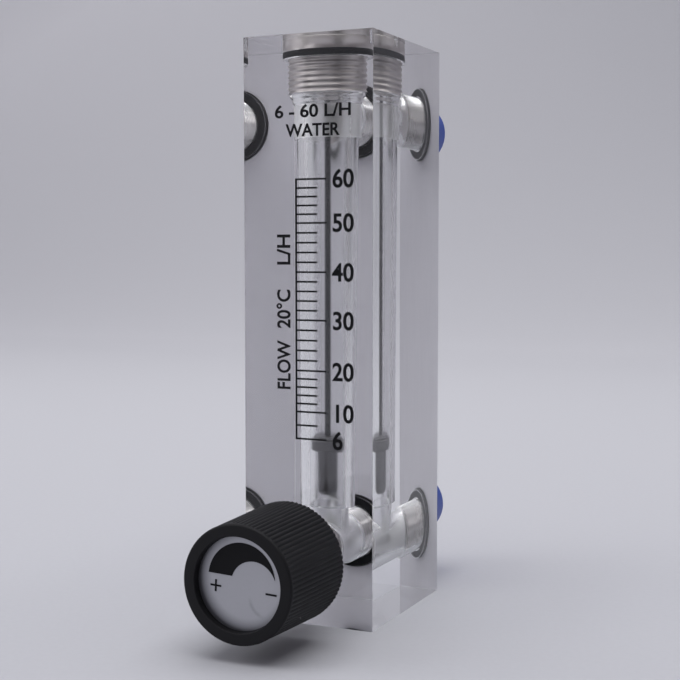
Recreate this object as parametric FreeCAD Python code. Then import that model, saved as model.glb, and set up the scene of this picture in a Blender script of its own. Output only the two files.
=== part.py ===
import FreeCAD, Part
import math
import os

# Panel rotameter for water: an acrylic block with a tapered flow bore, a float guided on a rod,
# a needle valve behind a black knob at the front and two screwed connections at the back.
# Millimetres. +Z is up, the knob faces -Y, and the origin is the centre of the block's bottom face.

V = FreeCAD.Vector

# ---- acrylic block -------------------------------------------------------------------------
block_w = 25.0            # X
block_d = 32.0            # Y, front to back
block_h = 104.0           # Z
block_edge = 0.2          # polished edge break

bore_from_front = 13.3    # flow bore axis behind the front face
bore_foot_z = 20.0        # where the taper starts, above the cross drilling
bore_foot_d = 10.4
chamber_l = 17.6          # from the block's top down to the end of the taper
bore_head_d = 11.7
passage_d = 8.0           # from the cross drilling up to the taper
chamber_d = 12.8          # outlet chamber above the taper

port_z = 13.0             # inlet connection, valve and cross drilling
outlet_from_top = 13.5    # outlet connection below the block's top
port_thread_d = 10.0      # M10 x 1
port_pitch = 1.0
port_thread_depth = 10.0
port_seal_w = 1.9         # spot face for the connection's O-ring, on the radius
port_seal_depth = 1.5

thread_gap = 0.05         # between a screwed shank and its tapped hole, on the radius
seal_gap = 0.03           # around a seated O-ring, on the radius
press_gap = 0.02          # around a pressed-in piece, on the radius
slide_gap = 0.08          # around a piece that slides, on the radius
turned_edge = 0.3         # edge break of turned metal pieces

# ---- top plug ------------------------------------------------------------------------------
plug_head_d = 17.0
plug_head_t = 2.2
plug_seal_t = 1.4         # squeezed thickness of the plug's O-ring
plug_seal_w = 1.7         # groove under the head, on the radius
plug_thread_d = 15.0      # M15 x 1
plug_thread_l = 6.1
plug_tap_over = 1.7       # the block is tapped this much deeper than the plug reaches
plug_head_gap = 0.1       # head in its counterbore, on the radius
plug_slot_w = 1.6
plug_slot_t = 1.2
plug_nose_d = 6.0         # boss that holds the guide rod and stops the float
plug_nose_l = 2.0

# ---- guide rod and float -------------------------------------------------------------------
rod_d = 1.7
rod_grip = 4.0            # length of rod pressed into the plug above its thread's foot
stop_d = 3.0              # collar on the foot of the rod
stop_t = 1.6

float_z = 21.8            # lower end of the resting float
float_body_d = 5.7
float_body_l = 8.2
float_rim_d = 9.5
float_rim_t = 2.0
float_top_d = 8.1
float_top_t = 0.6
float_edge_gap = 0.4      # slope under the float's rim, on the radius
float_round = 1.1
stop_side_gap = 0.3       # collar in the float's foot recess, on the radius
stop_face_gap = 0.05      # collar under the recess ceiling

# ---- screwed connections -------------------------------------------------------------------
port_shank_l = 9.5
port_hex = 14.0           # across flats
port_hex_t = 4.0
port_tail_d = 9.7         # hose thread behind the hexagon
port_tail_l = 15.4
port_neck_d = 8.6
port_neck_l = 1.2
port_bore_d = 5.0

cap_wall = 1.4
cap_end_t = 1.2
cap_end_gap = 0.3
cap_l = 14.0
cap_round = 1.0
cap_rim_d = 14.0
cap_rim_t = 1.2

# ---- needle valve --------------------------------------------------------------------------
bonnet_shank_l = 7.0
bonnet_hex = 13.0
bonnet_hex_t = 4.0
bonnet_seal_w = 1.3        # O-ring seat around the bonnet's shank, on the radius
bonnet_seal_t = 1.2
gland_bore_d = 6.6        # smooth bore for the stem's O-ring
gland_thread_d = 8.0      # M8 x 0.75
gland_shank_l = 1.8
gland_hex = 10.0
gland_hex_t = 2.8
stem_pitch = 0.75
stem_turns = 3.0
stem_thread_d = 6.0       # M6 x 0.75
stem_thread_l = 4.0
stem_d = 4.0
stem_run_gap = 0.1        # stem in the gland nut and lands in the gland bore, on the radius
stem_ring_t = 1.5
stem_ring_gap = 0.05      # O-ring in its groove, along the stem
stem_land_t = 0.5
stem_neck_l = 0.6
stem_stop_gap = 0.15      # open stem's land to the gland nut
land_floor_gap = 0.3      # closed stem's land to the floor of the gland bore
needle_d = 3.0
needle_tip_d = 0.8
needle_taper_l = 2.6
needle_gap = 0.05         # closed needle in the seat, on the radius
needle_lead_l = 1.4
seat_t = 4.0
seat_gap = 0.3            # between the seat and the flow passage
seat_orifice_d = 2.2
seat_lead = 0.8

# ---- knob ----------------------------------------------------------------------------------
knob_d = 21.0             # over the knurl at the back
knob_l = 18.5
knob_nut_gap = 0.7        # knob's back to the gland nut, valve closed
knob_front_d = 19.8       # smooth front band, and the knurl where it starts
knob_band_l = 0.7
knob_front_round = 0.4
knob_teeth = 80
knurl_depth = 0.3
knob_rim_t = 2.05         # front rim around the plate
knob_wall = 2.2
knob_hub_d = 9.4
knob_cavity_l = 8.5
knob_web_t = 2.0
knob_bore_gap = 0.05
stem_flat = 0.5           # depth of the stem's driving flat
plate_d = 15.5
plate_t = 0.6
plate_recess = 1.3        # plate behind the rim's face
plate_gap = 0.05
screw_d = 3.0             # M3 x 6
screw_l = 6.0
screw_head_d = 5.6
screw_head_t = 1.8
screw_slot_w = 0.8
screw_slot_t = 0.9
screw_bottom_gap = 1.0
washer_d = 6.4
washer_t = 0.5
washer_gap = 0.2
knob_pocket_gap = 0.4     # washer in the knob's pocket, on the radius

# ---- print ---------------------------------------------------------------------------------
ink_t = 0.08
scale_line_x = -2.15      # the upright line's middle
scale_line_w = 0.34
tick_w = 0.32
tick_long_x = 3.7
tick_short_x = 1.95
scale_foot_z = 33.2       # the lowest line
scale_l = 45.6            # lowest to highest line
scale_share = {6: 0.0, 10: 0.105, 20: 0.265, 30: 0.46, 40: 0.645, 50: 0.833, 60: 1.0}
minor_step = 2            # litres an hour
mark_outer_d = 12.15      # tapering band on the knob's plate, between two circles
mark_outer_x = 0.2        # the circles' middles, from the knob's axis
mark_outer_z = 0.6
mark_inner_d = 8.3
mark_inner_x = 2.4
mark_inner_z = -0.2
mark_foot_z = 1.05        # the band's thick end is cut off on this level
mark_turn = 3.0           # clockwise, degrees

# ---- places that follow from the sizes -----------------------------------------------------
front_y = -block_d / 2
back_y = block_d / 2
bore_y = front_y + bore_from_front
bore_head_z = block_h - chamber_l
outlet_z = block_h - outlet_from_top
port_drill_d = port_thread_d - port_pitch
port_seal_d = port_thread_d + 2 * port_seal_w
bonnet_seal_d = port_thread_d + 2 * bonnet_seal_w
plug_neck_d = plug_head_d - 2 * plug_seal_w
plug_seal_top = block_h - plug_head_t
plug_seat_z = plug_seal_top - plug_seal_t
plug_foot_z = plug_seat_z - plug_thread_l
plug_tap_z = plug_foot_z - plug_tap_over
nose_z = plug_foot_z - plug_nose_l
float_h = float_body_l + float_rim_t + float_top_t
rod_hole_d = rod_d + 2 * press_gap
tail_y = back_y + port_hex_t + port_tail_l
passage_back_y = bore_y + passage_d / 2
seat_y = passage_back_y + seat_gap
bonnet_front_y = front_y - bonnet_hex_t
gland_front_y = bonnet_front_y - gland_hex_t
knob_back_y = gland_front_y - knob_nut_gap
knob_front_y = knob_back_y - knob_l
plate_front_y = knob_front_y + plate_recess
plate_back_y = plate_front_y + plate_t
screw_seat_y = plate_back_y + washer_t + screw_head_t + washer_gap
stem_front_y = screw_seat_y + knob_web_t
stem_lift = stem_pitch * stem_turns
land_y = bonnet_front_y + gland_shank_l + stem_stop_gap + stem_lift
ring_y = land_y + stem_land_t
ring_back_y = ring_y + stem_ring_t + 2 * stem_ring_gap
stem_thread_y = ring_back_y + stem_land_t + stem_neck_l
gland_floor_y = stem_thread_y - stem_neck_l + land_floor_gap


# ---- ways of making a shape ----------------------------------------------------------------
def turned(profile):
    """Solid turned about Z from (radius, height) points."""
    points = [V(r, 0, h) for r, h in profile]
    face = Part.Face(Part.makePolygon(points + points[:1]))
    return face.revolve(V(0, 0, 0), V(0, 0, 1), 360)


def upright(shape, y=bore_y):
    """A turned shape on the flow bore's axis, its heights taken as Z."""
    return shape.translated(V(0, y, 0))


def lengthwise(shape, z=port_z):
    """A turned shape laid on a front-to-back axis, its heights taken as Y."""
    laid = shape.copy()
    laid.rotate(V(0, 0, 0), V(1, 0, 0), -90)
    return laid.translated(V(0, 0, z))


def rod(diameter, low, high):
    return Part.makeCylinder(diameter / 2, high - low, V(0, 0, low), V(0, 0, 1))


def tube(outer_d, inner_d, low, high):
    return rod(outer_d, low, high).cut(rod(inner_d, low, high))


def hexagon(across_flats, low, high):
    """Hexagon bar with its corners turned off at both ends."""
    corner_r = across_flats / math.sqrt(3)
    angles = [math.radians(30 + 60 * k) for k in range(6)]
    corners = [V(corner_r * math.cos(a), corner_r * math.sin(a), low) for a in angles]
    bar = Part.Face(Part.makePolygon(corners + corners[:1])).extrude(V(0, 0, high - low))
    flat_r = across_flats / 2
    fall = 0.5 * (corner_r - flat_r)
    turned_off = turned([(0, low), (flat_r, low), (corner_r, low + fall), (corner_r, high - fall),
                         (flat_r, high), (0, high)])
    return bar.common(turned_off)


def seal(inner_d, outer_d, low, high):
    """Squeezed O-ring: flat where it is pressed, rounded where it is free."""
    ring = tube(outer_d, inner_d, low, high)
    round_edges = [edge for edge in ring.Edges if isinstance(edge.Curve, Part.Circle)]
    return ring.makeFillet(0.4 * min(high - low, (outer_d - inner_d) / 2), round_edges)


def save(shape, node):
    """Writes one node, after the seams that the cuts leave are removed."""
    whole = shape.removeSplitter()
    whole.exportStep("parts/" + node + ".step")


# ---- block and plug ------------------------------------------------------------------------
def acrylic_body():
    block = Part.makeBox(block_w, block_d, block_h, V(-block_w / 2, front_y, 0))
    block = block.makeChamfer(block_edge, block.Edges)
    return block.cut(flow_bore()).cut(inlet_drilling()).cut(outlet_drilling())


def flow_bore():
    """Everything that is bored from the top, down to the cross drilling."""
    thread_r = plug_thread_d / 2 + thread_gap
    counterbore_r = plug_head_d / 2 + plug_head_gap
    return upright(turned([
        (0, port_z), (passage_d / 2, port_z), (passage_d / 2, bore_foot_z),
        (bore_foot_d / 2, bore_foot_z), (bore_head_d / 2, bore_head_z), (chamber_d / 2, bore_head_z),
        (chamber_d / 2, plug_tap_z), (thread_r, plug_tap_z), (thread_r, plug_seat_z),
        (counterbore_r, plug_seat_z), (counterbore_r, block_h), (0, block_h)]))


def port_mouth():
    """Tapped hole and O-ring seat of a rear connection, as heights along Y."""
    thread_r = port_thread_d / 2 + thread_gap
    drill_r = port_drill_d / 2
    return [(drill_r, back_y - port_thread_depth - (thread_r - drill_r)),
            (thread_r, back_y - port_thread_depth), (thread_r, back_y - port_seal_depth),
            (port_seal_d / 2, back_y - port_seal_depth), (port_seal_d / 2, back_y), (0, back_y)]


def inlet_drilling():
    """Right through the block: the bonnet screws in at the front, the inlet at the back."""
    thread_r = port_thread_d / 2 + thread_gap
    drill_r = port_drill_d / 2
    seal_y = front_y + bonnet_seal_t
    thread_y = front_y + bonnet_shank_l + thread_gap
    return lengthwise(turned([
        (0, front_y), (bonnet_seal_d / 2, front_y), (bonnet_seal_d / 2, seal_y),
        (thread_r, seal_y), (thread_r, thread_y), (drill_r, thread_y)] + port_mouth()))


def outlet_drilling():
    """From the back into the side of the outlet chamber."""
    return lengthwise(turned([(0, bore_y), (port_drill_d / 2, bore_y)] + port_mouth()), outlet_z)


def top_plug():
    """Screwed plug, flush with the block, slotted, with a nose that holds the guide rod."""
    head_r = plug_head_d / 2
    thread_r = plug_thread_d / 2
    nose_r = plug_nose_d / 2
    body = upright(turned([
        (0, nose_z), (nose_r, nose_z), (nose_r, plug_foot_z), (thread_r - turned_edge, plug_foot_z),
        (thread_r, plug_foot_z + turned_edge), (thread_r, plug_seat_z),
        (plug_neck_d / 2, plug_seat_z), (plug_neck_d / 2, plug_seal_top), (head_r, plug_seal_top),
        (head_r, block_h - turned_edge), (head_r - turned_edge, block_h), (0, block_h)]))
    rod_hole = upright(rod(rod_hole_d, nose_z, plug_foot_z + rod_grip))
    slot = Part.makeBox(plug_head_d, plug_slot_w, plug_slot_t,
                        V(-plug_head_d / 2, bore_y - plug_slot_w / 2, block_h - plug_slot_t))
    return body.cut(rod_hole).cut(slot)


def top_plug_o_ring():
    return upright(seal(plug_neck_d + 2 * seal_gap, plug_head_d + 2 * plug_head_gap - 2 * seal_gap,
                        plug_seat_z, plug_seal_top))


# ---- rod and float -------------------------------------------------------------------------
def guide_rod():
    return upright(rod(rod_d, float_z, plug_foot_z + rod_grip))


def rod_stop():
    """Collar pressed on the foot of the rod, which the resting float hangs on."""
    return upright(tube(stop_d, rod_hole_d, float_z, float_z + stop_t))


def flow_float():
    """Turned float: rounded foot, plain body, reading rim and a lower step above it."""
    rim_z = float_z + float_body_l
    step_z = rim_z + float_rim_t
    body_r = float_body_d / 2
    rim_r = float_rim_d / 2
    top_r = float_top_d / 2
    body = turned([
        (0, float_z), (body_r, float_z), (body_r, rim_z), (rim_r - float_edge_gap, rim_z),
        (rim_r, rim_z + float_edge_gap), (rim_r, step_z), (top_r, step_z),
        (top_r, step_z + float_top_t / 2), (top_r - float_top_t / 2, step_z + float_top_t),
        (0, step_z + float_top_t)])
    foot_edge = [edge for edge in body.Edges
                 if isinstance(edge.Curve, Part.Circle) and abs(edge.Curve.Center.z - float_z) < 1e-6]
    body = body.makeFillet(float_round, foot_edge)
    recess_top = float_z + stop_t + stop_face_gap
    hollow = rod(rod_d + 2 * slide_gap, float_z, float_z + float_h).fuse(
        rod(stop_d + 2 * stop_side_gap, float_z, recess_top))
    return upright(body.cut(hollow))


# ---- rear connections ----------------------------------------------------------------------
def port_adapter(z):
    """Screwed connection: shank, hexagon against the block, undercut and hose thread."""
    shank_r = port_thread_d / 2
    tail_r = port_tail_d / 2
    neck_y = back_y + port_hex_t
    shank = turned([
        (0, back_y - port_shank_l), (shank_r - turned_edge, back_y - port_shank_l),
        (shank_r, back_y - port_shank_l + turned_edge), (shank_r, back_y), (0, back_y)])
    tail = turned([
        (0, neck_y), (port_neck_d / 2, neck_y), (port_neck_d / 2, neck_y + port_neck_l),
        (tail_r, neck_y + port_neck_l), (tail_r, tail_y - turned_edge), (tail_r - turned_edge, tail_y),
        (0, tail_y)])
    body = shank.fuse(hexagon(port_hex, back_y, neck_y)).fuse(tail)
    return lengthwise(body.cut(rod(port_bore_d, back_y - port_shank_l, tail_y)), z)


def port_o_ring(z):
    return lengthwise(seal(port_thread_d + 2 * seal_gap, port_seal_d - 2 * seal_gap,
                           back_y - port_seal_depth, back_y), z)


def dust_cap(z):
    """Push-on cap: round closed end, thin wall and a rim to pull it by."""
    inner_r = port_tail_d / 2 + slide_gap
    outer_r = inner_r + cap_wall
    floor_y = tail_y + cap_end_gap
    end_y = floor_y + cap_end_t
    mouth_y = end_y - cap_l
    cap = turned([
        (0, mouth_y), (cap_rim_d / 2, mouth_y), (cap_rim_d / 2, mouth_y + cap_rim_t),
        (outer_r, mouth_y + cap_rim_t), (outer_r, end_y), (0, end_y)])
    end_edge = [edge for edge in cap.Edges
                if isinstance(edge.Curve, Part.Circle) and abs(edge.Curve.Center.z - end_y) < 1e-6]
    cap = cap.makeFillet(cap_round, end_edge)
    return lengthwise(cap.cut(rod(2 * inner_r, mouth_y, floor_y)), z)


# ---- needle valve --------------------------------------------------------------------------
def valve_bonnet():
    """Screwed cartridge: stem thread inside the block, smooth gland bore, thread for the nut."""
    shank_r = port_thread_d / 2
    foot_y = front_y + bonnet_shank_l
    shank = turned([
        (0, front_y), (shank_r, front_y), (shank_r, foot_y - turned_edge),
        (shank_r - turned_edge, foot_y), (0, foot_y)])
    nut_thread_y = bonnet_front_y + gland_shank_l
    inside = turned([
        (0, bonnet_front_y), (gland_thread_d / 2 + thread_gap, bonnet_front_y),
        (gland_thread_d / 2 + thread_gap, nut_thread_y), (gland_bore_d / 2, nut_thread_y),
        (gland_bore_d / 2, gland_floor_y), (stem_thread_d / 2 + thread_gap, gland_floor_y),
        (stem_thread_d / 2 + thread_gap, foot_y), (0, foot_y)])
    return lengthwise(shank.fuse(hexagon(bonnet_hex, bonnet_front_y, front_y)).cut(inside))


def bonnet_o_ring():
    return lengthwise(seal(port_thread_d + 2 * seal_gap, bonnet_seal_d - 2 * seal_gap,
                           front_y, front_y + bonnet_seal_t))


def gland_nut():
    """Closes the gland bore and stops the stem when the valve is fully open."""
    nut = rod(gland_thread_d, bonnet_front_y, bonnet_front_y + gland_shank_l).fuse(
        hexagon(gland_hex, gland_front_y, bonnet_front_y))
    return lengthwise(nut.cut(rod(stem_d + 2 * stem_run_gap, gland_front_y,
                                  bonnet_front_y + gland_shank_l)))


def valve_seat():
    """Pressed-in ring with a chamfered orifice behind the flow passage."""
    outer_r = port_drill_d / 2 - press_gap
    orifice_r = seat_orifice_d / 2
    return lengthwise(turned([
        (orifice_r + seat_lead, seat_y), (outer_r, seat_y), (outer_r, seat_y + seat_t),
        (orifice_r, seat_y + seat_t), (orifice_r, seat_y + seat_lead)]))


def valve_stem():
    """Needle, lifting thread, O-ring lands and the flatted shaft that carries the knob."""
    needle_r = needle_d / 2
    closed_r = seat_orifice_d / 2 - needle_gap
    thread_r = stem_thread_d / 2
    land_r = gland_bore_d / 2 - stem_run_gap
    shaft_r = stem_d / 2
    throat_y = seat_y + seat_lead
    stem = turned([
        (0, stem_front_y), (shaft_r - turned_edge, stem_front_y), (shaft_r, stem_front_y + turned_edge),
        (shaft_r, land_y), (land_r, land_y), (land_r, ring_y), (shaft_r, ring_y),
        (shaft_r, ring_back_y), (land_r, ring_back_y), (land_r, ring_back_y + stem_land_t),
        (shaft_r, ring_back_y + stem_land_t), (shaft_r, stem_thread_y), (thread_r, stem_thread_y),
        (thread_r, stem_thread_y + stem_thread_l), (needle_r, stem_thread_y + stem_thread_l),
        (needle_r, throat_y - needle_lead_l), (closed_r, throat_y),
        (needle_tip_d / 2, throat_y + needle_taper_l), (0, throat_y + needle_taper_l)])
    tapped_l = screw_l - knob_web_t - washer_t + screw_bottom_gap
    stem = stem.cut(rod(screw_d, stem_front_y, stem_front_y + tapped_l))
    flat = Part.makeBox(stem_d, stem_d, knob_back_y - stem_front_y,
                        V(-stem_d / 2, shaft_r - stem_flat, stem_front_y))
    return lengthwise(stem.cut(flat))


def stem_o_ring():
    return lengthwise(seal(stem_d + 2 * seal_gap, gland_bore_d - 2 * seal_gap,
                           ring_y + stem_ring_gap, ring_back_y - stem_ring_gap))


# ---- knob ----------------------------------------------------------------------------------
def knurl_outline(crest_r, y):
    """V-shaped teeth all round, at one place along the knob."""
    points = []
    for k in range(2 * knob_teeth):
        r = crest_r - knurl_depth * (k % 2)
        angle = math.pi * k / knob_teeth
        points.append(V(r * math.cos(angle), r * math.sin(angle), y))
    return Part.makePolygon(points + points[:1])


def knurled_cone(low, high):
    """Straight knurl, wider at the back by the moulding's draft."""
    ends = [knurl_outline(knob_front_d / 2, low), knurl_outline(knob_d / 2, high)]
    return Part.makeLoft(ends, True, True)


def knob():
    """Moulded knob: smooth front band, knurl, plate recess, screw pocket, hub and hollow back."""
    front_r = knob_front_d / 2
    band_y = knob_front_y + knob_band_l
    band = turned([(0, knob_front_y), (front_r - knob_front_round, knob_front_y),
                   (front_r, knob_front_y + knob_front_round), (front_r, band_y), (0, band_y)])
    rim_r = front_r - knob_rim_t
    pocket_r = washer_d / 2 + knob_pocket_gap
    front_hollow = turned([
        (0, knob_front_y), (rim_r, knob_front_y), (plate_d / 2 + plate_gap, plate_front_y),
        (plate_d / 2 + plate_gap, plate_back_y), (pocket_r, plate_back_y), (pocket_r, screw_seat_y),
        (0, screw_seat_y)])
    cavity = tube(knob_d - 2 * knurl_depth - 2 * knob_wall, knob_hub_d,
                  knob_back_y - knob_cavity_l, knob_back_y)
    bore_r = stem_d / 2 + knob_bore_gap
    bore = rod(2 * bore_r, stem_front_y, knob_back_y)
    key = Part.makeBox(2 * bore_r, bore_r, knob_back_y - stem_front_y,
                       V(-bore_r, stem_d / 2 - stem_flat + knob_bore_gap, stem_front_y))
    screw_hole = rod(screw_d + 2 * washer_gap, screw_seat_y, stem_front_y)
    body = band.fuse(knurled_cone(band_y, knob_back_y))
    for hollow in (front_hollow, cavity, bore.cut(key), screw_hole):
        body = body.cut(hollow)
    return lengthwise(body)


def knob_washer():
    return lengthwise(tube(washer_d, screw_d + 2 * washer_gap, screw_seat_y - washer_t, screw_seat_y))


def knob_screw():
    """Slotted pan-head screw through the knob's web into the end of the stem."""
    under_head = screw_seat_y - washer_t
    shank = rod(screw_d - 2 * press_gap, under_head, under_head + screw_l)
    head_r = screw_head_d / 2
    head = turned([(0, under_head), (head_r, under_head), (head_r, under_head - screw_head_t / 2),
                   (head_r - screw_head_t / 2, under_head - screw_head_t), (0, under_head - screw_head_t)])
    slot = Part.makeBox(screw_head_d, screw_slot_w, screw_slot_t,
                        V(-screw_head_d / 2, -screw_slot_w / 2, under_head - screw_head_t))
    return lengthwise(head.fuse(shank).cut(slot))


def knob_plate():
    return lengthwise(rod(plate_d, plate_front_y, plate_back_y))


def knob_mark():
    """Tapering band printed on the plate, thick where the valve opens."""
    low = plate_front_y - ink_t
    disc = rod(mark_outer_d, low, plate_front_y).translated(V(mark_outer_x, -mark_outer_z, 0))
    hole = rod(mark_inner_d, low, plate_front_y).translated(V(mark_inner_x, -mark_inner_z, 0))
    upper_half = Part.makeBox(2 * mark_outer_d, mark_outer_d, ink_t,
                              V(-mark_outer_d, -mark_outer_d - mark_foot_z, low))
    band = disc.cut(hole).common(upper_half)
    return lengthwise(band.rotated(V(0, 0, 0), V(0, 0, 1), mark_turn))


# ---- printed scale -------------------------------------------------------------------------
def scale_height(flow):
    """Height of a flow on the scale, straight between the numbered lines."""
    marks = sorted(scale_share)
    for low, high in zip(marks, marks[1:]):
        if low <= flow <= high:
            rise = (flow - low) / (high - low) * (scale_share[high] - scale_share[low])
            return scale_foot_z + scale_l * (scale_share[low] + rise)


def bar(x_low, x_high, z_low, z_high):
    return Part.makeBox(x_high - x_low, ink_t, z_high - z_low, V(x_low, front_y - ink_t, z_low))


def scale_marks():
    """Upright line with a long tick at each number and short ones between."""
    flows = range(min(scale_share), max(scale_share) + 1, minor_step)
    left = scale_line_x - scale_line_w / 2
    line = bar(left, left + scale_line_w, scale_foot_z - tick_w / 2, scale_foot_z + scale_l + tick_w / 2)
    ticks = []
    for flow in flows:
        middle = scale_height(flow)
        right = tick_long_x if flow in scale_share else tick_short_x
        ticks.append(bar(left, right, middle - tick_w / 2, middle + tick_w / 2))
    return line.multiFuse(ticks)


NODES = {
    "acrylic_body": acrylic_body(),
    "top_plug": top_plug(),
    "top_plug_o_ring": top_plug_o_ring(),
    "guide_rod": guide_rod(),
    "rod_stop": rod_stop(),
    "float": flow_float(),
    "inlet_adapter": port_adapter(port_z),
    "inlet_o_ring": port_o_ring(port_z),
    "inlet_dust_cap": dust_cap(port_z),
    "outlet_adapter": port_adapter(outlet_z),
    "outlet_o_ring": port_o_ring(outlet_z),
    "outlet_dust_cap": dust_cap(outlet_z),
    "valve_bonnet": valve_bonnet(),
    "bonnet_o_ring": bonnet_o_ring(),
    "gland_nut": gland_nut(),
    "valve_seat": valve_seat(),
    "valve_stem": valve_stem(),
    "stem_o_ring": stem_o_ring(),
    "knob": knob(),
    "knob_washer": knob_washer(),
    "knob_screw": knob_screw(),
    "knob_plate": knob_plate(),
    "knob_mark": knob_mark(),
    "scale_marks": scale_marks(),
}

os.makedirs("parts", exist_ok=True)
for node, solid in NODES.items():
    save(solid, node)
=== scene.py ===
import math

import bmesh
import bpy
from mathutils import Matrix, Vector


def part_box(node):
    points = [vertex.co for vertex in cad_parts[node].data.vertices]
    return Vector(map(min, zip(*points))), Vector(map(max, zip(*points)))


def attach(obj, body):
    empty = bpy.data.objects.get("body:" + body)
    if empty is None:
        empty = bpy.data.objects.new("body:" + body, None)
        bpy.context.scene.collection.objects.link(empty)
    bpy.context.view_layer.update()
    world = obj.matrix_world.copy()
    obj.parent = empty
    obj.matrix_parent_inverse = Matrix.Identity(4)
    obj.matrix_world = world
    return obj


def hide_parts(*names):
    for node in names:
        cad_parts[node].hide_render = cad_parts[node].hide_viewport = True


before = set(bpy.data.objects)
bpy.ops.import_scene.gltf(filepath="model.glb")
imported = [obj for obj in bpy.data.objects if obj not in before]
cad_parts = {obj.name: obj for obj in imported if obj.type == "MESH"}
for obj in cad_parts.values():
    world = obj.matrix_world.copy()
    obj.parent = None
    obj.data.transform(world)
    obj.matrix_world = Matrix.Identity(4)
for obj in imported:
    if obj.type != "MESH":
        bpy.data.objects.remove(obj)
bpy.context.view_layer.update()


# ---- paper sweep -------------------------------------------------------------------------------
# The stand: one sheet of pale grey paper, flat under the meter and curving up into a wall behind.
# Its tone changes evenly over its width, depth and height. This is painted light and shade: it stands in
# for how the lamps' light falls over the paper, with the paper's grain on top. It isn't part of the
# object, and a hair of air stays between it and the block.
class Amount:
    """A shader output. Ordinary sums on it add Math nodes."""

    def __init__(self, finish, socket):
        self.finish = finish
        self.socket = socket

    def sum(self, operation, first, second=0.0):
        return self.finish.node("Math", {"operation": operation}, {0: first, 1: second})

    def __add__(self, other):
        return self.sum("ADD", self, other)

    def __radd__(self, other):
        return self.sum("ADD", other, self)

    def __sub__(self, other):
        return self.sum("SUBTRACT", self, other)

    def __rsub__(self, other):
        return self.sum("SUBTRACT", other, self)

    def __mul__(self, other):
        return self.sum("MULTIPLY", self, other)

    def __rmul__(self, other):
        return self.sum("MULTIPLY", other, self)


class Finish:
    """A material or a surround being made. node() adds one node and hands back one of its outputs."""

    def __init__(self, name, kind=bpy.data.materials):
        self.material = kind.new(name)
        self.material.use_nodes = True
        self.tree = self.material.node_tree
        self.tree.nodes.clear()

    def node(self, kind, settings=None, sockets=None, output=0):
        made = self.tree.nodes.new("ShaderNode" + kind)
        for name, value in (settings or {}).items():
            setattr(made, name, value)
        for name, value in (sockets or {}).items():
            if isinstance(value, Amount):
                self.tree.links.new(value.socket, made.inputs[name])
            else:
                made.inputs[name].default_value = value
        return Amount(self, made.outputs[output]) if made.outputs else None

    def mix(self, share, first, second):
        """Colour between two colours."""
        first, second = [(*c, 1) if isinstance(c, tuple) else c for c in (first, second)]
        return self.node("Mix", {"data_type": "RGBA"}, {0: share, 6: first, 7: second}, output=2)

    def noise(self, scale, detail=2.0, stretch=(1, 1, 1)):
        """Cloudy values near 0.5, fixed to the object. A small stretch draws them out along that axis."""
        place = self.node("TexCoord", output=3)
        place = self.node("Mapping", {}, {"Vector": place, "Scale": stretch})
        return self.node("TexNoise", {}, {"Vector": place, "Scale": scale, "Detail": detail})

    def fade(self, amount, none, full):
        """0 where the amount is none, 1 where it is full, and a straight change between."""
        return self.node("MapRange", {}, {"Value": amount, "From Min": none, "From Max": full})

    def relief(self, height, strength, distance):
        return self.node("Bump", {}, {"Height": height, "Strength": strength, "Distance": distance})

    def surface(self, shader):
        """Ends the material with its shader."""
        self.node("OutputMaterial", {}, {"Surface": shader})
        return self.material


def piece(name, mesh, *materials, sharp=30):
    """A mesh object with its materials, smooth except at its real edges."""
    made = bpy.data.objects.new(name, mesh)
    bpy.context.scene.collection.objects.link(made)
    for material in materials:
        mesh.materials.append(material)
    mesh.shade_smooth()
    mesh.set_sharp_from_angle(angle=math.radians(sharp))
    return made


mm = 0.001
paper_z, paper_front_y, paper_top_z, paper_half_w = -0.05 * mm, -1.2, 1.6, 1.6
curve_y, curve_r, curve_steps = 0.55, 0.5, 18
sweep_line = [(paper_front_y, paper_z)]
sweep_line += [(curve_y + curve_r * math.sin(a), paper_z + curve_r - curve_r * math.cos(a))
               for a in (math.pi / 2 * k / curve_steps for k in range(curve_steps + 1))]
sweep_line.append((curve_y + curve_r, paper_top_z))
sweep_mesh = bpy.data.meshes.new("paper_sweep")
sweep_mesh.from_pydata([(x, y, z) for y, z in sweep_line for x in (-paper_half_w, paper_half_w)], [],
                       [(2 * k, 2 * k + 1, 2 * k + 3, 2 * k + 2) for k in range(len(sweep_line) - 1)])
paper = Finish("paper")
paper_grain = paper.noise(900.0, 3.0)
paper_place = paper.node("TexCoord", output=3)
across, away, up = [paper.node("SeparateXYZ", {}, {"Vector": paper_place}, output=k) for k in range(3)]
wall_y = 0.6
flat_away = away.sum("MINIMUM", away, wall_y)
climb = away - flat_away
# Painted light and shade: the paper's colour gets lighter and darker over its width, depth and height as
# the light falls on it, and the noise adds its grain.
painted_light_and_grain = (0.088 + flat_away * 0.587 - climb * 0.760 - across * 0.216 - across * up * 2.623
            + paper_grain * 0.067)
paper.surface(paper.node("BsdfPrincipled", {}, {
    "Base Color": paper.mix(painted_light_and_grain, (0.480, 0.484, 0.520), (0.96, 0.965, 1.0)),
    "Roughness": 0.9, "Specular IOR Level": 0.2}))
piece("paper_sweep", sweep_mesh, paper.material)


# ---- light and camera --------------------------------------------------------------------------
# A wide soft lamp overhead and a weaker one from the left, in a pale even surround that the clear
# block finds in nearly every direction. Behind the camera and to its right the room is dark, which
# gives the bright metal its dark middles.
def lamp(name, place, target, size, power):
    """A square soft lamp at place, turned to target."""
    light = bpy.data.lights.new(name, "AREA")
    light.shape = "SQUARE"
    light.size = size
    light.energy = power
    made = bpy.data.objects.new(name, light)
    made.location = place
    made.rotation_euler = (Vector(target) - Vector(place)).to_track_quat("-Z", "Y").to_euler()
    bpy.context.scene.collection.objects.link(made)


lamp("top_lamp", (0.05, 0.0, 0.85), (0, 0, 0), 0.9, 6.0)
lamp("left_lamp", (-0.8, -0.5, 0.6), (0, 0, 0.05), 0.6, 2.2)

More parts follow.
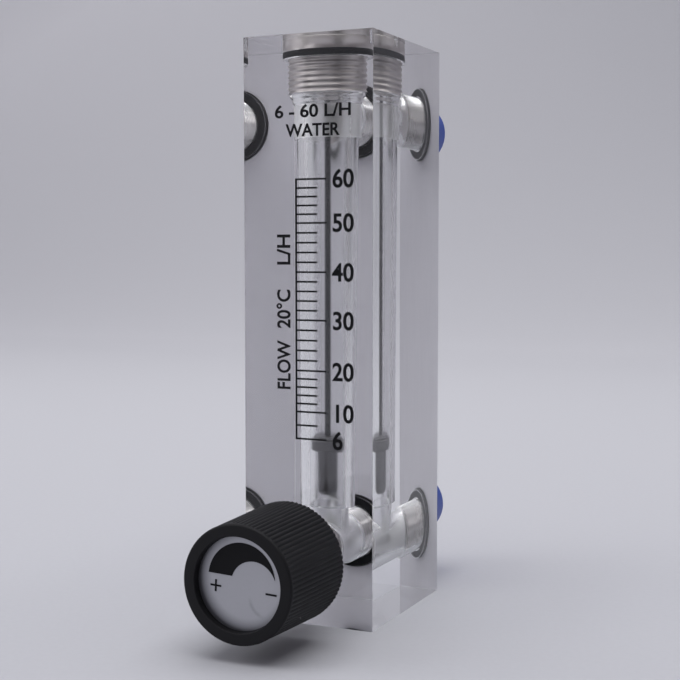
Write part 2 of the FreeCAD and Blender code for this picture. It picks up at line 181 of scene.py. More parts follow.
surround = Finish("surround", bpy.data.worlds)
dark_side = surround.node("VectorMath", {"operation": "DOT_PRODUCT"},
                          {0: surround.node("TexCoord"), 1: (0.80, -0.60, 0.0)}, output=1)
walls = surround.mix(surround.fade(dark_side, 0.2, 0.8), (0.81, 0.80, 0.88), (0.17, 0.145, 0.16))
surround.node("OutputWorld", {}, {
    "Surface": surround.node("Background", {}, {"Color": walls, "Strength": 0.52})})
bpy.context.scene.world = surround.material

lens = bpy.data.cameras.new("camera")
lens.lens, lens.sensor_width, lens.clip_start = 70.53, 36, 0.01
look_down, look_left = 3.887, 24.653
camera = bpy.data.objects.new("camera", lens)
camera.location = (0.10255, -0.22571, 0.06657)
camera.rotation_euler = (math.radians(90 - look_down), 0, math.radians(look_left))
bpy.context.scene.collection.objects.link(camera)
bpy.context.scene.camera = camera
bpy.context.scene.view_settings.view_transform = "Standard"


# ---- acrylic block -----------------------------------------------------------------------------
# Clear cast acrylic. The front, sides, top and bottom are polished, the back is milled and left
# matt, and all edges but the bottom ones are broken with a scraper. The tapered bore is reamed, and
# the drilled and tapped holes stay cloudier.
def turned(profile, segments=96, shaping=None):
    """A closed mesh turned about Z from (radius, height) points in millimetres. A shaping is a
    function of radius, height and angle that gives the radius for outlines that aren't round."""
    shape = bmesh.new()
    rings = []
    for radius, height in profile:
        if radius < 1e-6:
            rings.append([shape.verts.new((0, 0, height * mm))])
            continue
        ring = []
        for k in range(segments):
            a = 2 * math.pi * k / segments
            r = shaping(radius, height, a) if shaping else radius
            ring.append(shape.verts.new((r * mm * math.cos(a), r * mm * math.sin(a), height * mm)))
        rings.append(ring)
    closing = rings[:1] if len(rings[0]) > 1 else []
    for low, high in zip(rings, rings[1:] + closing):
        for k in range(segments):
            corners = [low[k % len(low)], low[(k + 1) % len(low)], high[(k + 1) % len(high)],
                       high[k % len(high)]]
            corners = [c for n, c in enumerate(corners) if c not in corners[:n]]
            if len(corners) > 2:
                shape.faces.new(corners)
    bmesh.ops.recalc_face_normals(shape, faces=shape.faces)
    mesh = bpy.data.meshes.new("turned")
    shape.to_mesh(mesh)
    shape.free()
    return mesh


def set_upright(mesh, y):
    """Moves a turned mesh back to an upright axis at y."""
    mesh.transform(Matrix.Translation((0, y * mm, 0)))
    return mesh


def set_lengthwise(mesh, z):
    """Lays a turned mesh front to back, so that its heights run along Y."""
    mesh.transform(Matrix.Translation((0, 0, z * mm)) @ Matrix.Rotation(math.radians(-90), 4, "X"))
    return mesh


def thread(outer, depth, low, high, pitch=1.0, steps=8):
    """Profile points of a screw thread's rounded grooves, from low to high."""
    turns = int((high - low) / pitch + 1e-6)
    waves = [(outer - depth * (0.5 - 0.5 * math.cos(2 * math.pi * k / steps)), low + pitch * k / steps)
             for k in range(turns * steps + 1)]
    return waves + ([(outer, high)] if high - low > turns * pitch + 1e-6 else [])


def arc(centre_r, centre_h, radius, start, end, steps=6):
    """Profile points of a rounded edge. Angles are in degrees from the +radius direction."""
    angles = [math.radians(start + (end - start) * k / steps) for k in range(steps + 1)]
    return [(centre_r + radius * math.cos(a), centre_h + radius * math.sin(a)) for a in angles]


def finish_between(mesh, low, high, index):
    """Gives the faces between two heights, while the heights still run along Z, another material."""
    for face in mesh.polygons:
        if low * mm < face.center.z < high * mm:
            face.material_index = index
    return mesh


def cut_from(blank, cutters):
    """The blank with each cutter taken out. Cut faces keep their cutter's material."""
    for cutter in cutters:
        take = blank.modifiers.new("cut", "BOOLEAN")
        take.object = cutter
        take.solver = "EXACT"
        take.material_mode = "TRANSFER"
    mesh = bpy.data.meshes.new_from_object(blank.evaluated_get(bpy.context.evaluated_depsgraph_get()))
    for spent in [blank, *cutters]:
        bpy.data.objects.remove(spent)
    return mesh


def let_lamps_through(finish, clear, tint):
    """Clear material that doesn't block the lamps' light."""
    passed = finish.node("BsdfTransparent", {}, {"Color": (*tint, 1)})
    shadow = finish.node("LightPath", output=1)
    return finish.surface(finish.node("MixShader", {}, {0: shadow, 1: clear, 2: passed}))


acrylic_ior = 1.49


def acrylic(name, roughness, marks, strength, depth, clearness=1.0, colour=(0.975, 0.98, 0.985),
            stretch=(1, 1, 1)):
    """Clear acrylic whose skin is polished or more or less cloudy. Marks are the fineness of its
    tool marks, and less clearness whitens it."""
    finish = Finish(name)
    skin = finish.relief(finish.noise(marks, stretch=stretch), strength, depth)
    return let_lamps_through(finish, finish.node("BsdfPrincipled", {}, {
        "Base Color": (*colour, 1), "Roughness": roughness, "IOR": acrylic_ior,
        "Transmission Weight": clearness, "Normal": skin}), (0.86, 0.87, 0.88))


def millimetres(node):
    """Lowest and highest corner of a part at rest."""
    return [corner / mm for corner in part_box(node)]


block_low, block_high = millimetres("acrylic_body")
ring_low, ring_high = millimetres("top_plug_o_ring")
rod_low, rod_high = millimetres("guide_rod")
bore_y = (rod_low.y + rod_high.y) / 2
inlet_z, outlet_z = [sum(c.z for c in millimetres(end + "_adapter")) / 2 for end in ("inlet", "outlet")]

polished = acrylic("polished_acrylic", 0.0, 60.0, 0.02, 0.2 * mm)
reamed = acrylic("reamed_acrylic", 0.24, 2500.0, 0.04, 0.05 * mm, 0.98, stretch=(1, 1, 0.04))
bored = acrylic("bored_acrylic", 0.36, 2500.0, 0.35, 0.05 * mm, 0.76)
drilled = acrylic("drilled_acrylic", 0.34, 2500.0, 0.35, 0.05 * mm, 0.86, (0.88, 0.88, 0.91))
tapped = acrylic("tapped_acrylic", 0.20, 4000.0, 0.2, 0.05 * mm, 0.88)
scraped = acrylic("scraped_acrylic", 0.20, 1500.0, 0.2, 0.1 * mm)

milled = Finish("milled_acrylic")
milled_marks = milled.noise(900.0, 3.0, stretch=(1, 1, 0.15))
milled_matt = milled.node("BsdfPrincipled", {}, {
    "Base Color": milled.mix(milled_marks, (0.68, 0.665, 0.725), (0.74, 0.725, 0.785)),
    "Roughness": 0.85, "IOR": acrylic_ior, "Transmission Weight": 0.03,
    "Normal": milled.relief(milled_marks, 0.2, 0.05 * mm)})
let_lamps_through(milled, milled_matt, (0.6, 0.61, 0.63))

blank_shape = bmesh.new()
bmesh.ops.create_cube(blank_shape, size=1.0)
for corner in blank_shape.verts:
    corner.co = Vector([(low if side < 0 else high) * mm for low, high, side in
                        zip(block_low, block_high, corner.co)])
edge_break = 0.05
broken = [edge for edge in blank_shape.edges
          if max(corner.co.z for corner in edge.verts) > block_low.z * mm + 1e-6]
bmesh.ops.bevel(blank_shape, geom=broken, offset=edge_break * mm, segments=1, affect="EDGES")
for face in blank_shape.faces:
    if max(abs(n) for n in face.normal) < 0.9:
        face.material_index = 2
    elif face.normal.y > 0.9:
        face.material_index = 1
blank_mesh = bpy.data.meshes.new("blank")
blank_shape.to_mesh(blank_mesh)
blank_shape.free()
blank = piece("blank", blank_mesh, polished, milled.material, scraped)

over, hair = 1.0, 0.01
passage_r, passage_top = 4.0, 20.0
taper_foot_r, taper_head_r, taper_head_z = 5.2, 5.85, 86.4
chamber_r, chamber_top_z, seat_z = 6.4, 92.3, ring_low.z
tap_r, tap_depth, tap_foot_z, head_hole_r = 7.49, 0.28, seat_z - 6.0, 8.49


def runout(start_r, start_z, end_r, steps=15, rise=0.125, ripple=0.07):
    """Profile points of the tap's shallow last turns, which widen the hole from start_r to end_r."""
    return [(start_r + (end_r - start_r) * k / steps - ripple * math.cos(0.8 * k), start_z + rise * k)
            for k in range(1, steps + 1)]


top_bore = turned(
    [(0, inlet_z), (passage_r, inlet_z), (passage_r, passage_top), (taper_foot_r, passage_top),
     (taper_head_r, taper_head_z), (chamber_r, taper_head_z), (chamber_r, chamber_top_z)]
    + runout(chamber_r, chamber_top_z, tap_r - tap_depth)
    + thread(tap_r, tap_depth, tap_foot_z, seat_z)
    + [(head_hole_r, seat_z), (head_hole_r, block_high.z + over), (0, block_high.z + over)], 128)
finish_between(top_bore, inlet_z - over, passage_top - hair, 1)
finish_between(top_bore, taper_head_z - hair, chamber_top_z, 2)
finish_between(top_bore, chamber_top_z, block_high.z + 2 * over, 3)
top_bore = piece("top_bore_cutter", set_upright(top_bore, bore_y), reamed, drilled, bored, tapped)

drill_r, port_r, port_depth, port_thread_depth, drill_cone = 4.5, 5.05, 10.0, 0.45, 0.5
mouth_r, mouth_depth = 6.75, 1.5
front_mouth_r, front_mouth_depth, front_depth = 6.3, 1.2, 7.05
mouth_y = block_high.y - mouth_depth
port_foot_y = block_high.y - port_depth
front_mouth_y = block_low.y + front_mouth_depth
front_foot_y = block_low.y + front_depth
mouth = (thread(port_r, port_thread_depth, port_foot_y, mouth_y)
         + [(mouth_r, mouth_y), (mouth_r, block_high.y + over), (0, block_high.y + over)])
inlet_bore = turned(
    [(0, block_low.y - over), (front_mouth_r, block_low.y - over), (front_mouth_r, front_mouth_y)]
    + thread(port_r, port_thread_depth, front_mouth_y, front_foot_y)
    + [(drill_r, front_foot_y), (drill_r, port_foot_y - drill_cone)] + mouth, 96)
drill_end_y = bore_y + 0.1
outlet_bore = turned(
    [(0, drill_end_y), (drill_r, drill_end_y), (drill_r, port_foot_y - drill_cone)] + mouth, 96)
cutters = [top_bore]
for bore, z in ((inlet_bore, inlet_z), (outlet_bore, outlet_z)):
    finish_between(bore, front_mouth_y, front_foot_y, 1)
    finish_between(bore, port_foot_y, mouth_y - hair, 1)
    finish_between(bore, mouth_y - hair, block_high.y + 2 * over, 2)
    cutters.append(piece("cross_bore_cutter", set_lengthwise(bore, z), drilled, tapped, polished))

block = piece("acrylic_block", cut_from(blank, cutters), sharp=50)
for face in block.data.polygons:
    face.use_smooth = not any(abs(face.center[k] - side[k] * mm) < 1e-6
                              for side in (block_low, block_high) for k in range(3))
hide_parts("acrylic_body")
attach(block, "meter_body")


# ---- top plug ----------------------------------------------------------------------------------
# Turned nickel-plated brass plug, M15 x 1, with a screwdriver slot. It closes the bore, holds the
# guide rod in its boss and presses an O-ring into the counterbore.
def metal(name, colour, stretch, roughness=0.28, marks=0.25, contrast=0.18):
    """Machined metal: fine tool marks around the piece and a faint cloudiness."""
    finish = Finish(name)
    lines = finish.noise(3500.0, 4.0, stretch=stretch)
    cloud = finish.noise(180.0, 3.0)
    darker = tuple((1 - contrast) * c for c in colour)
    return finish.surface(finish.node("BsdfPrincipled", {}, {
        "Base Color": finish.mix(lines * 0.6 + cloud * 0.4, darker, colour), "Metallic": 1.0,
        "Roughness": roughness - 0.1 + cloud * 0.2,
        "Normal": finish.relief(lines, marks, 0.02 * mm)}))


upright_marks, lengthwise_marks = (0.05, 0.05, 1), (0.05, 1, 0.05)
nickel_upright = metal("nickel_upright", (0.61, 0.57, 0.56), upright_marks, 0.32, 0.3)
nickel_lengthwise = metal("nickel_lengthwise", (0.56, 0.525, 0.515), lengthwise_marks, 0.26, 0.12, 0.1)
plug_low, plug_high = millimetres("top_plug")
plug_r, plug_edge = plug_high.x, 0.02
plug_thread_r, plug_lead, plug_foot_z, neck_r = 7.5, 0.4, 94.3, 6.8
boss_r, boss_edge, slot_w, slot_depth = 3.0, 0.2, 1.6, 1.2
rod_play = 0.02
rod_hole_r = rod_high.x + rod_play
plug = piece("screwed_plug", set_upright(turned(
    [(0, rod_high.z), (rod_hole_r, rod_high.z), (rod_hole_r, plug_low.z),
     (boss_r - boss_edge, plug_low.z), (boss_r, plug_low.z + boss_edge), (boss_r, plug_foot_z),
     (plug_thread_r - plug_lead, plug_foot_z)]
    + thread(plug_thread_r, tap_depth, tap_foot_z, ring_low.z)
    + [(neck_r, ring_low.z), (neck_r, ring_high.z), (plug_r, ring_high.z),
       (plug_r, plug_high.z - plug_edge), (plug_r - plug_edge, plug_high.z), (0, plug_high.z)], 128),
    bore_y), nickel_upright)
slot_shape = bmesh.new()
bmesh.ops.create_cube(slot_shape, size=1.0, matrix=Matrix.Translation((0, bore_y * mm, plug_high.z * mm))
                      @ Matrix.Diagonal((2.2 * plug_r * mm, slot_w * mm, 2 * slot_depth * mm, 1)))
slot_mesh = bpy.data.meshes.new("slot")
slot_shape.to_mesh(slot_mesh)
slot_shape.free()
slot_cutter = piece("slot_cutter", slot_mesh, nickel_upright)
plug = piece("top_plug_turned", cut_from(plug, [slot_cutter]), sharp=50)
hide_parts("top_plug")
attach(plug, "meter_body")


# ---- O-rings in the block ----------------------------------------------------------------------
# Black nitrile rings squeezed against the acrylic, so that they show black through it with no
# gleam of air between. One lies under the plug's head, and one in the mouth of each hole that a
# connection or the bonnet is screwed into.
rubber = Finish("black_rubber")
bloom = rubber.noise(500.0, 4.0)
rubber.surface(rubber.node("BsdfPrincipled", {}, {
    "Base Color": rubber.mix(bloom, (0.006, 0.006, 0.008), (0.014, 0.014, 0.017)),
    "Roughness": 0.45 + bloom * 0.2, "Specular IOR Level": 0.15,
    "Normal": rubber.relief(bloom, 0.15, 0.05 * mm)}))


def squeezed_ring(inner, outer, low, high, low_edge, high_edge, inner_edge=0.15):
    """Profile of an O-ring in its groove: flat where it is pressed, round at the free corners."""
    return (arc(inner + inner_edge, low + inner_edge, inner_edge, 180, 270, 4)
            + arc(outer - low_edge, low + low_edge, low_edge, 270, 360, 8)
            + arc(outer - high_edge, high - high_edge, high_edge, 0, 90, 8)
            + arc(inner + inner_edge, high - inner_edge, inner_edge, 90, 180, 4))


squeeze, groove_play, face_play = 0.02, 0.03, 0.01
plug_ring = piece("plug_o_ring", set_upright(turned(squeezed_ring(
    neck_r + groove_play, head_hole_r + squeeze, ring_low.z + groove_play, ring_high.z - face_play,
    0.32, 0.1), 128), bore_y), rubber.material, sharp=60)
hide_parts("top_plug_o_ring")
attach(plug_ring, "meter_body")
for end, z in (("inlet", inlet_z), ("outlet", outlet_z)):
    ring = piece(end + "_mouth_o_ring", set_lengthwise(turned(squeezed_ring(
        port_r + 0.15, mouth_r + squeeze, mouth_y - squeeze, block_high.y - face_play, 0.2, 0.2)), z),
        rubber.material, sharp=60)
    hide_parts(end + "_o_ring")
    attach(ring, "meter_body")
bonnet_ring = piece("bonnet_mouth_o_ring", set_lengthwise(turned(squeezed_ring(
    port_r - squeeze, front_mouth_r + squeeze, block_low.y + face_play, front_mouth_y + squeeze,
    0.3, 0.3)), inlet_z), rubber.material, sharp=60)
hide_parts("bonnet_o_ring")
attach(bonnet_ring, "meter_body")


# ---- guide rod and float -----------------------------------------------------------------------
# A ground stainless rod hangs from the plug, with a pressed collar at its foot. The float is turned from
# stainless bar and slides on the rod, and its rim's upper edge reads against the scale. Both are coloured
# near black. This is painted shade that stands in for how dark they look inside the bore.
# Painted shade: the steel of the rod, its collar and the float is coloured near black to stand in for how
# dark they look inside the bore.
painted_dark_steel = metal("painted_dark_steel", (0.045, 0.045, 0.052), upright_marks, 0.26)
painted_dark_float_steel = metal("painted_dark_float_steel", (0.125, 0.122, 0.132), upright_marks, 0.30, 0.3)
rod_r, rod_edge, rod_end_z = rod_high.x, 0.1, rod_high.z - rod_play
rod = piece("ground_rod", set_upright(turned(
    [(0, rod_low.z), (rod_r - rod_edge, rod_low.z), (rod_r, rod_low.z + rod_edge), (rod_r, rod_end_z),
     (0, rod_end_z)], 48), bore_y), painted_dark_steel)
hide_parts("guide_rod")
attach(rod, "meter_body")
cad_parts["rod_stop"].material_slots[0].material = painted_dark_steel

float_low, float_high = millimetres("float")
body_r, body_l, foot_round, body_flare = 2.85, 8.2, 1.1, 0.15
rim_r, rim_t, rim_slope, rim_edge = float_high.x, 2.0, 0.4, 0.1
step_r, step_edge = 4.05, 0.3
rim_low_z = float_low.z + body_l
rim_z = rim_low_z + rim_t
recess_r, recess_depth, float_bore_r = 1.8, 1.65, 0.93
moving_float = piece("turned_float", set_upright(turned(
    [(recess_r, float_low.z)] + arc(body_r - foot_round, float_low.z + foot_round, foot_round, -88, 0)
    + [(body_r, rim_low_z - body_flare), (body_r + body_flare, rim_low_z),
       (rim_r - rim_slope, rim_low_z), (rim_r, rim_low_z + rim_slope), (rim_r, rim_z - rim_edge),
       (rim_r - rim_edge, rim_z), (step_r, rim_z), (step_r, rim_z + step_edge),
       (step_r - step_edge, float_high.z), (float_bore_r, float_high.z),
       (float_bore_r, float_low.z + recess_depth), (recess_r, float_low.z + recess_depth)], 96),
    bore_y), painted_dark_float_steel)
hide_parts("float")
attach(moving_float, "float_body")


# ---- rear connections --------------------------------------------------------------------------
# Nickel-plated brass connections, M10 x 1, screwed into the back against their O-rings. The hexagon
# takes a 14 mm spanner, and the hose nut's thread stands out behind it.
def hexagon(across_flats, low, high):
    """Shaping that limits the radius to a hexagon between two heights."""
    def flats(radius, height, angle):
        flat = across_flats / 2 / math.cos((angle + math.pi / 6) % (math.pi / 3) - math.pi / 6)
        return min(radius, flat) if low - 1e-6 < height < high + 1e-6 else radius
    return flats


def hexagon_bar(across_flats, low, high):
    """Profile of a hexagon with its corners turned off, to go with the hexagon's shaping."""
    flat_r, corner_r = across_flats / 2, across_flats / math.sqrt(3)
    fall = 0.5 * (corner_r - flat_r)
    rise = [(flat_r + (corner_r - flat_r) * k / 4, low + fall * k / 4) for k in range(5)]
    return rise + [(r, low + high - h) for r, h in reversed(rise)]


spanner_14, hexagon_l, neck_l, hose_neck_r = 14.0, 4.0, 1.2, 4.3
screw_play, shank_lead, shank_lead_r = 0.05, 0.5, 4.6
shank_r = port_r - screw_play
water_r, water_edge, hose_r, hose_thread_depth, hose_edge, hose_end_r = 2.5, 0.2, 4.85, 0.4, 0.4, 4.5
hex_y = block_high.y + hexagon_l
hose_y = hex_y + neck_l
for end, z in (("inlet", inlet_z), ("outlet", outlet_z)):
    near, far = millimetres(end + "_adapter")
    adapter = piece(end + "_connection", set_lengthwise(turned(
        [(water_r, near.y), (shank_lead_r, near.y)]
        + thread(shank_r, port_thread_depth, near.y + shank_lead, mouth_y)
        + [(shank_r, block_high.y)] + hexagon_bar(spanner_14, block_high.y, hex_y)
        + [(hose_neck_r, hex_y), (hose_neck_r, hose_y)]
        + thread(hose_r, hose_thread_depth, hose_y, far.y - hose_edge)
        + [(hose_end_r, far.y), (water_r + water_edge, far.y), (water_r, far.y - water_edge)],
        96, hexagon(spanner_14, block_high.y, hex_y)), z), nickel_lengthwise, sharp=50)
    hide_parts(end + "_adapter")
    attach(adapter, "meter_body")


# ---- dust caps ---------------------------------------------------------------------------------
# Soft blue polyethylene caps, each moulded in one piece, that keep dirt out until the hoses are on.
# They are pushed over the hose threads and have a rim to pull them off by.
cap_plastic = Finish("blue_polyethylene")
cap_cloud = cap_plastic.noise(250.0, 3.0)
cap_plastic.surface(cap_plastic.node("BsdfPrincipled", {}, {
    "Base Color": cap_plastic.mix(cap_cloud, (0.015, 0.060, 0.37), (0.026, 0.085, 0.46)),
    "Roughness": 0.35 + cap_cloud * 0.15, "Subsurface Weight": 0.1, "Subsurface Scale": 0.001,
    "Normal": cap_plastic.relief(cap_cloud, 0.1, 0.1 * mm)}))
cap_inner_r, cap_outer_r, cap_end_round = 4.93, 6.33, 1.0
cap_rim_l, cap_floor_t, cap_edge = 1.2, 1.2, 0.2
for end, z in (("inlet", inlet_z), ("outlet", outlet_z)):
    near, far = millimetres(end + "_dust_cap")
    cap_rim_r, cap_rim_y, floor_y = far.x, near.y + cap_rim_l, far.y - cap_floor_t
    cap = piece(end + "_cap", set_lengthwise(turned(
        [(0, floor_y), (cap_inner_r, floor_y), (cap_inner_r, near.y + cap_edge),
         (cap_inner_r + cap_edge, near.y)]
        + arc(cap_rim_r - cap_edge, near.y + cap_edge, cap_edge, -90, 0, 3)
        + arc(cap_rim_r - cap_edge, cap_rim_y - cap_edge, cap_edge, 0, 90, 3)
        + [(cap_outer_r, cap_rim_y)]
        + arc(cap_outer_r - cap_end_round, far.y - cap_end_round, cap_end_round, 0, 90)
        + [(0, far.y)]), z), cap_plastic.material)
    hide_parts(end + "_dust_cap")
    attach(cap, end + "_cap")


# ---- valve bonnet and stem ---------------------------------------------------------------------
# The bonnet is a screwed cartridge of nickel-plated brass that carries the stem's lifting thread.
# The stainless stem has its needle, its O-ring lands and the knob's flat in one piece, and closes on
# a white acetal seat.
spanner_13 = 13.0
near, far = millimetres("valve_bonnet")
stem_hole_r, stem_hole_l, gland_bore_r, gland_cone_l, tip_l = 3.05, 2.0, 3.3, 0.3, 0.3
nut_hole_r, nut_y = 4.05, near.y + 1.8
bonnet = piece("screwed_bonnet", set_lengthwise(turned(
    [(stem_hole_r, far.y), (stem_hole_r, far.y - stem_hole_l),
     (gland_bore_r, far.y - stem_hole_l - gland_cone_l), (gland_bore_r, nut_y),
     (nut_hole_r, nut_y), (nut_hole_r, near.y)]
    + hexagon_bar(spanner_13, near.y, block_low.y) + [(shank_r, block_low.y)]
    + thread(shank_r, port_thread_depth, front_mouth_y, far.y - tip_l) + [(shank_lead_r, far.y)],
    96, hexagon(spanner_13, near.y, block_low.y)), inlet_z), nickel_lengthwise, sharp=50)
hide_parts("valve_bonnet")
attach(bonnet, "meter_body")

steel_lengthwise = metal("steel_lengthwise", (0.42, 0.42, 0.43), lengthwise_marks, 0.3)
acetal = Finish("white_acetal")
acetal_cloud = acetal.noise(400.0, 3.0)
acetal.surface(acetal.node("BsdfPrincipled", {}, {
    "Base Color": acetal.mix(acetal_cloud, (0.62, 0.62, 0.60), (0.70, 0.70, 0.68)),
    "Roughness": 0.4 + acetal_cloud * 0.1, "Normal": acetal.relief(acetal_cloud, 0.1, 0.05 * mm)}))
for node, finish in (("gland_nut", nickel_lengthwise), ("valve_stem", steel_lengthwise),
                     ("valve_seat", acetal.material), ("stem_o_ring", rubber.material)):
    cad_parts[node].material_slots[0].material = finish


# ---- knob --------------------------------------------------------------------------------------
# Black moulded knob with a straight knurl, drawn slightly wider towards the back. It is hollow from
# behind around a hub, pushed on the stem's flat and held by a screw under the front plate.
knob_plastic = Finish("black_moulded_plastic")
skin = knob_plastic.noise(2200.0, 3.0)
handling = knob_plastic.noise(120.0, 3.0)
knob_plastic.surface(knob_plastic.node("BsdfPrincipled", {}, {
    "Base Color": knob_plastic.mix(handling, (0.0055, 0.0055, 0.007), (0.0085, 0.0085, 0.0105)),
    "Roughness": 0.52 + handling * 0.16, "Specular IOR Level": 0.25,
    "Normal": knob_plastic.relief(skin, 0.12, 0.03 * mm)}))

near, far = millimetres("knob")
plate_low, plate_high = millimetres("knob_plate")
washer_high = millimetres("knob_washer")[1]
stem_low = millimetres("valve_stem")[0]
teeth, tooth_depth = 80, 0.18
knurl_back_r, knurl_edge, band_r, band_l, front_round = far.x, 0.2, 9.9, 0.7, 0.4
band_y = near.y + band_l
plate_hole_r, knob_rim_r, hole_edge = plate_high.x + 0.05, 7.85, 0.1
pocket_r, screw_hole_r = washer_high.x + 0.4, 1.7
hub_bore_r, hub_r, cavity_r, cavity_y = 2.05, 4.7, 7.9, far.y - 8.5


def knurl(radius, height, angle):
    """Shaping for the teeth: rounded crests and sharp valleys, behind the smooth front band."""
    if height < band_y + hair or radius < cavity_r + 0.5:
        return radius
    return radius - tooth_depth * (1 - abs(math.cos(teeth / 2 * angle)))


knurl_foot_y = band_y + 2 * hair
knurled = [(band_r + (knurl_back_r - band_r) * k / 4,
            knurl_foot_y + (far.y - knurl_edge - band_y) * k / 4) for k in range(4, -1, -1)]
knob = piece("knurled_knob", set_lengthwise(turned(
    [(pocket_r, plate_high.y), (pocket_r, washer_high.y), (screw_hole_r, washer_high.y),
     (screw_hole_r, stem_low.y), (hub_bore_r, stem_low.y), (hub_bore_r, far.y), (hub_r, far.y),
     (hub_r, cavity_y), (cavity_r, cavity_y), (cavity_r, far.y), (knurl_back_r - knurl_edge, far.y)]
    + knurled + [(band_r, band_y)]
    + arc(band_r - front_round, near.y + front_round, front_round, 0, -90)
    + [(knob_rim_r + hole_edge, near.y), (knob_rim_r, near.y + hole_edge),
       (plate_hole_r, plate_low.y), (plate_hole_r, plate_high.y)], 8 * teeth, knurl), inlet_z),
    knob_plastic.material, sharp=40)
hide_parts("knob")
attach(knob, "valve_spindle")
for node in ("knob_washer", "knob_screw"):
    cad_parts[node].material_slots[0].material = steel_lengthwise


# ---- front plate -------------------------------------------------------------------------------
# Satin anodised aluminium disc pressed into the knob, with a plus and a minus in black ink beside the
# tapering band: plus is the way to turn for more flow. Its colour is darkened along the lower left of its
# rim, which is painted shade of the rim, and there is one faint smear.
anodised = Finish("satin_aluminium")
plate_grain = anodised.noise(2600.0, 3.0)
plate_cloud = anodised.noise(90.0, 2.0)
plate_place = anodised.node("TexCoord", output=3)


def over_plate(x, z):
    """Distance in millimetres over the plate from a spot x across and z up from its middle."""
    way = anodised.node("VectorMath", {"operation": "SUBTRACT"},
                        {0: plate_place, 1: (x * mm, 0, (inlet_z + z) * mm)})
    way = anodised.node("VectorMath", {"operation": "MULTIPLY"}, {0: way, 1: (1 / mm, 0, 1 / mm)})
    return anodised.node("VectorMath", {"operation": "LENGTH"}, {0: way}, output=1)


# Painted shade: a dark crescent in the plate's colour along the lower left of the rim, where the rim's
# shade falls on the plate.
painted_rim_shade = anodised.fade(over_plate(1.0, 0.7), 6.2, 8.4)
painted_rim_shade = painted_rim_shade.sum("POWER", painted_rim_shade, 1.3) * 0.8
smear_r = 3.2
smear = over_plate(4.9, -2.0) - smear_r
smear = anodised.fade(smear.sum("ABSOLUTE", smear), 0.45, 0.05)
smear = smear * anodised.fade(over_plate(2.3, -4.2), 2.4, 1.0) * 0.2
bare = anodised.mix(plate_cloud * 0.7 + plate_grain * 0.3, (0.405, 0.41, 0.44), (0.50, 0.505, 0.54))
anodised.surface(anodised.node("BsdfPrincipled", {}, {
    "Base Color": anodised.mix(painted_rim_shade + smear, bare, (0.02, 0.02, 0.03)),
    "Metallic": 0.6, "Roughness": 0.28 + plate_cloud * 0.14,
    "Normal": anodised.relief(plate_grain, 0.1, 0.02 * mm)}))
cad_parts["knob_plate"].material_slots[0].material = anodised.material

ink = Finish("black_ink")
ink_cover = ink.noise(1500.0, 3.0)
ink.surface(ink.node("BsdfPrincipled", {}, {
    "Base Color": ink.mix(ink_cover, (0.002, 0.002, 0.003), (0.005, 0.005, 0.007)),
    "Roughness": 0.5 + ink_cover * 0.15, "Specular IOR Level": 0.2,
    "Normal": ink.relief(ink_cover, 0.1, 0.02 * mm)}))
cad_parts["knob_mark"].material_slots[0].material = ink.material

ink_low, ink_high = millimetres("knob_mark")
mark_turn = math.radians(-3.0)


def plate_sign(name, outline, x, z):
    """An inked sign on the plate: an outline of (x, z) points round its middle, given its thickness."""
    shape = bmesh.new()
    face = shape.faces.new([shape.verts.new((px * mm, 0, pz * mm)) for px, pz in outline])
    grown = bmesh.ops.extrude_face_region(shape, geom=[face])["geom"]
    for corner in grown:
        if isinstance(corner, bmesh.types.BMVert):
            corner.co.y = -(ink_high.y - ink_low.y) * mm
    bmesh.ops.recalc_face_normals(shape, faces=shape.faces)
    mesh = bpy.data.meshes.new(name)
    shape.to_mesh(mesh)
    shape.free()
    mesh.transform(Matrix.Translation((0, ink_high.y * mm, inlet_z * mm))
                   @ Matrix.Rotation(-mark_turn, 4, "Y") @ Matrix.Translation((x * mm, 0, z * mm)))
    sign = piece(name, mesh, ink.material)
    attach(sign, "valve_spindle")


arm, half, plus_x, minus_x, sign_z = 0.98, 0.15, -4.45, 5.65, -0.95
quarter = [(half, half), (half, arm), (-half, arm)]
plus = [(x * math.cos(a) - z * math.sin(a), x * math.sin(a) + z * math.cos(a))
        for a in (math.radians(90 * k) for k in range(4)) for x, z in quarter]
plate_sign("plus_sign", plus, plus_x, sign_z)
plate_sign("minus_sign", [(-arm, -half), (arm, -half), (arm, half), (-arm, half)], minus_x, sign_z)


# ---- printed scale -----------------------------------------------------------------------------
# Black ink screen-printed on the block's front: the upright line and its ticks, a number at each
# long tick, an upright legend, and the meter's range and liquid above the scale.
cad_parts["scale_marks"].material_slots[0].material = ink.material
scale_low, scale_high = millimetres("scale_marks")
print_low_y, print_high_y = scale_low.y, scale_high.y + hair
capital_h, capital_middle, usual_width = 0.70, 0.341, 0.94


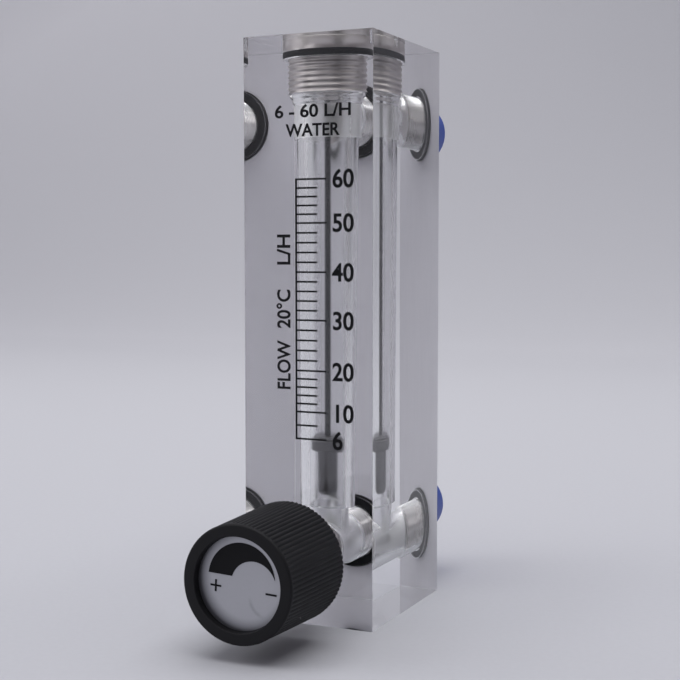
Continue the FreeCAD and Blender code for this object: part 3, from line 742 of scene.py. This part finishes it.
def lettering(name, words, size, z, x=None, width=None, middle=None, upright=False):
    """Printed words. size is the height of a capital, and z the middle of the line. They start at x, or
    stand centred on middle, and run to the given width. Upright words read from below, and start at z."""
    curve = bpy.data.curves.new(name, "FONT")
    curve.body = words
    curve.offset = 0.02
    curve.extrude = 0.5
    curve.resolution_u = 6
    flat = bpy.data.objects.new(name, curve)
    bpy.context.scene.collection.objects.link(flat)
    mesh = bpy.data.meshes.new_from_object(flat.evaluated_get(bpy.context.evaluated_depsgraph_get()))
    bpy.data.objects.remove(flat)
    shape = bmesh.new()
    shape.from_mesh(mesh)
    bmesh.ops.remove_doubles(shape, verts=shape.verts, dist=1e-5)
    low, high = [pick(v.co.x for v in shape.verts) for pick in (min, max)]
    tall = size / capital_h
    wide = width / (high - low) if width else usual_width * tall
    if x is None:
        start = z - low * wide if upright else middle - (high - low) * wide / 2 - low * wide
    else:
        start = x
    for v in shape.verts:
        along, above = start + v.co.x * wide, (v.co.y - capital_middle) * tall
        depth = print_low_y + (print_high_y - print_low_y) * (0.5 - v.co.z)
        v.co = Vector((middle - above, depth, along) if upright else (along, depth, z + above)) * mm
    bmesh.ops.recalc_face_normals(shape, faces=shape.faces)
    shape.to_mesh(mesh)
    shape.free()
    printed = piece(name, mesh, ink.material)
    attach(printed, "meter_body")


tick_w = 0.32
foot_z, top_z = scale_low.z + tick_w / 2, scale_high.z - tick_w / 2
number_x, number_size = 4.8, 3.1
for flow, share in {6: 0.0, 10: 0.105, 20: 0.265, 30: 0.46, 40: 0.645, 50: 0.833, 60: 1.0}.items():
    lettering("number_%d" % flow, str(flow), number_size, foot_z + share * (top_z - foot_z), x=number_x)
legend_x, legend_size = -4.6, 2.5
for name, words, low, high in (("legend_flow", "FLOW", 41.9, 50.5),
                               ("legend_temperature", "20°C", 52.7, 59.5),
                               ("legend_unit", "L/H", 63.9, 69.2)):
    lettering(name, words, legend_size, low, width=high - low, middle=legend_x, upright=True)
line_x, line_size = 1.05, 2.15
lettering("range_line", "6 - 60 L/H", line_size, 90.6, width=14.6, middle=line_x)
lettering("medium_line", "WATER", line_size, 87.3, width=10.4, middle=line_x)
